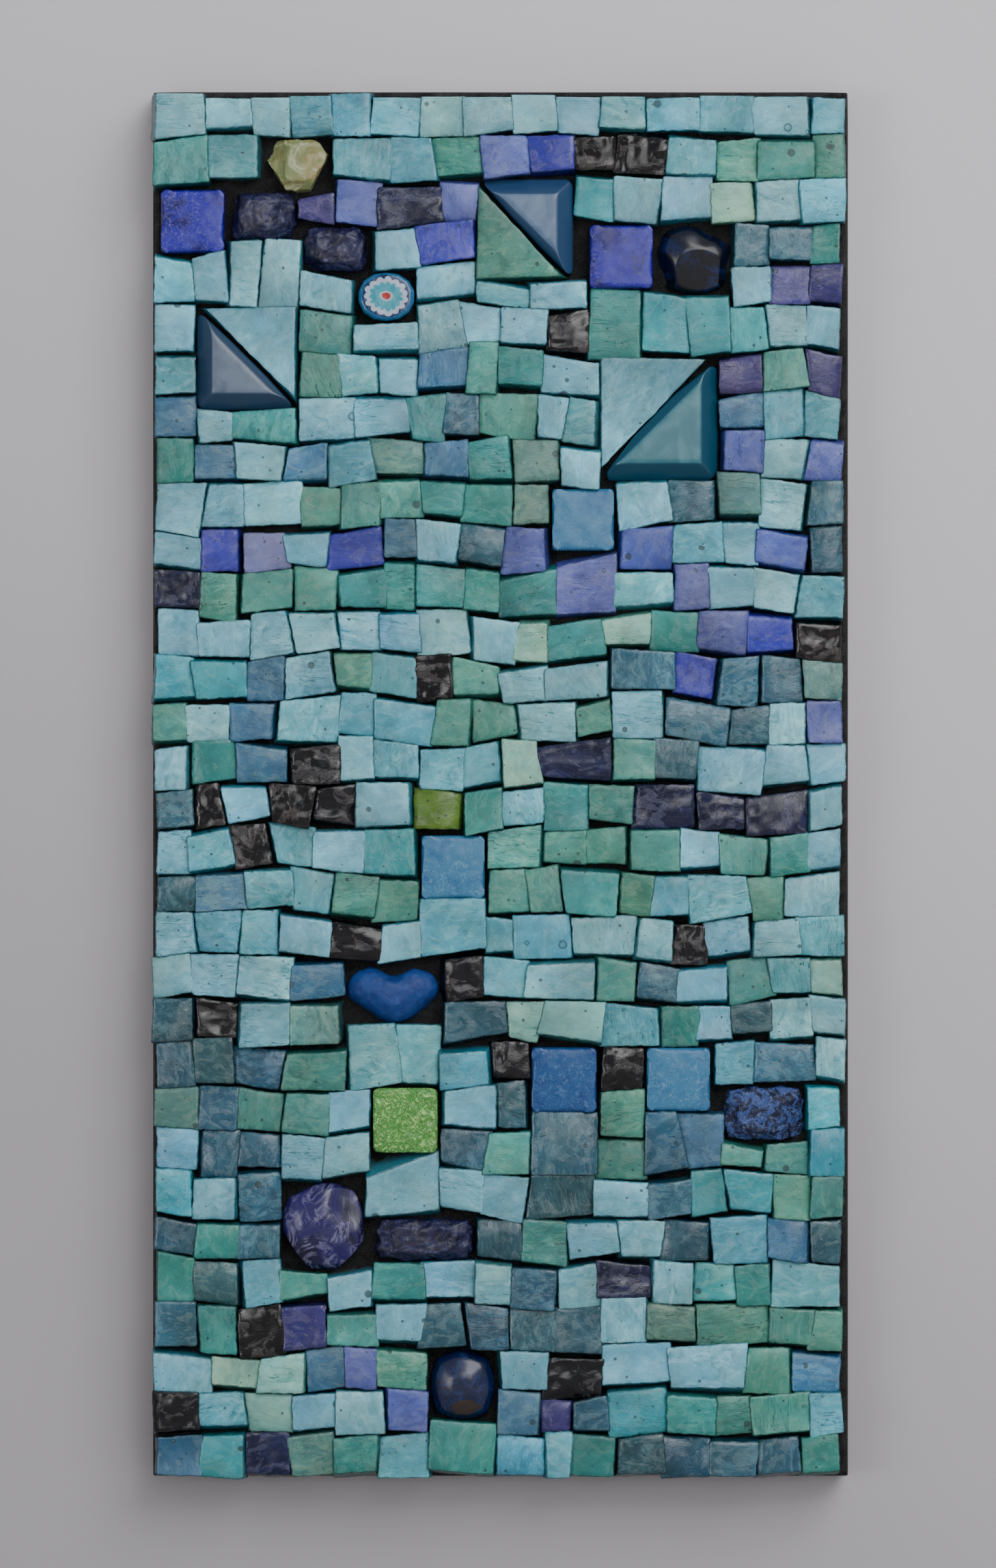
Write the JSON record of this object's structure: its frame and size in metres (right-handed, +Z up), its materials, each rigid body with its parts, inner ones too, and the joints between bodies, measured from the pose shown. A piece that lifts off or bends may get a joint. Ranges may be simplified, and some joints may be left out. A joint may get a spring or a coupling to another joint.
{
  "type": "mosaic wall panel",
  "caption": "Tall narrow wall panel of hand-cut glass tesserae and stones laid in wavy courses on a black board; hangs flat against a wall by its back.",
  "frame": {"origin": "middle of the board's flat back, which lies against the wall", "axes": "+Z up along the panel's height, +X to the viewer's right, -Y out of the mosaic face, +Y into the wall"},
  "size_m": [0.222, 0.0246, 0.438],
  "materials": {
    "board": "matte",
    "adhesive": "matte",
    "smalti": "gloss",
    "blue_glass": "polished",
    "cobalt_vitreous": "satin",
    "sky_vitreous": "satin",
    "mid_blue_vitreous": "satin",
    "jade_stone": "satin",
    "sodalite": "satin",
    "agate": "polished",
    "lapis": "satin",
    "blue_cabochon_stone": "polished",
    "patterned_cane": "gloss",
    "green_foil": "gloss"
  },
  "bodies": {
    "root": {"adhesive_bed": "adhesive", "agate_pebble": "agate", "backing_board": "board", "blue_cabochon": "blue_cabochon_stone", "blue_glass_triangle_left": "blue_glass", "blue_glass_triangle_right": "blue_glass", "blue_glass_triangle_top": "blue_glass", "cobalt_tile_left": "cobalt_vitreous", "cobalt_tile_right": "cobalt_vitreous", "green_foil_tile": "green_foil", "jade_chip": "jade_stone", "lapis_bean": "lapis", "mid_blue_tile": "mid_blue_vitreous", "patterned_cane_slice": "patterned_cane", "sky_tile_lower": "sky_vitreous", "sky_tile_middle": "sky_vitreous", "sky_tile_upper": "sky_vitreous", "sodalite_bar": "sodalite", "sodalite_block": "sodalite", "sodalite_chip_lower": "sodalite", "sodalite_chip_upper": "sodalite", "sodalite_pebble": "sodalite", "tesserae_course_01": "smalti", "tesserae_course_02": "smalti", "tesserae_course_03": "smalti", "tesserae_course_03_part_2": "smalti", "tesserae_course_04": "smalti", "tesserae_course_05": "smalti", "tesserae_course_06": "smalti", "tesserae_course_07": "smalti", "tesserae_course_07_part_2": "smalti", "tesserae_course_09": "smalti", "tesserae_course_10": "smalti", "tesserae_course_11": "smalti", "tesserae_course_12": "smalti", "tesserae_course_13": "smalti", "tesserae_course_14": "smalti", "tesserae_course_15": "smalti", "tesserae_course_16": "smalti", "tesserae_course_17": "smalti", "tesserae_course_18": "smalti", "tesserae_course_18_part_2": "smalti", "tesserae_course_19": "smalti", "tesserae_course_19_part_2": "smalti", "tesserae_course_20": "smalti", "tesserae_course_21": "smalti", "tesserae_course_22": "smalti", "tesserae_course_22_part_2": "smalti", "tesserae_course_23": "smalti", "tesserae_course_24": "smalti", "tesserae_course_26": "smalti", "tesserae_course_26_part_2": "smalti", "tesserae_course_27": "smalti", "tesserae_course_28": "smalti", "tesserae_course_29": "smalti", "tesserae_course_30": "smalti", "tesserae_course_30_part_2": "smalti", "tesserae_course_31": "smalti", "tesserae_course_31_part_2": "smalti", "tesserae_course_32": "smalti"}
  },
  "joints": []
}
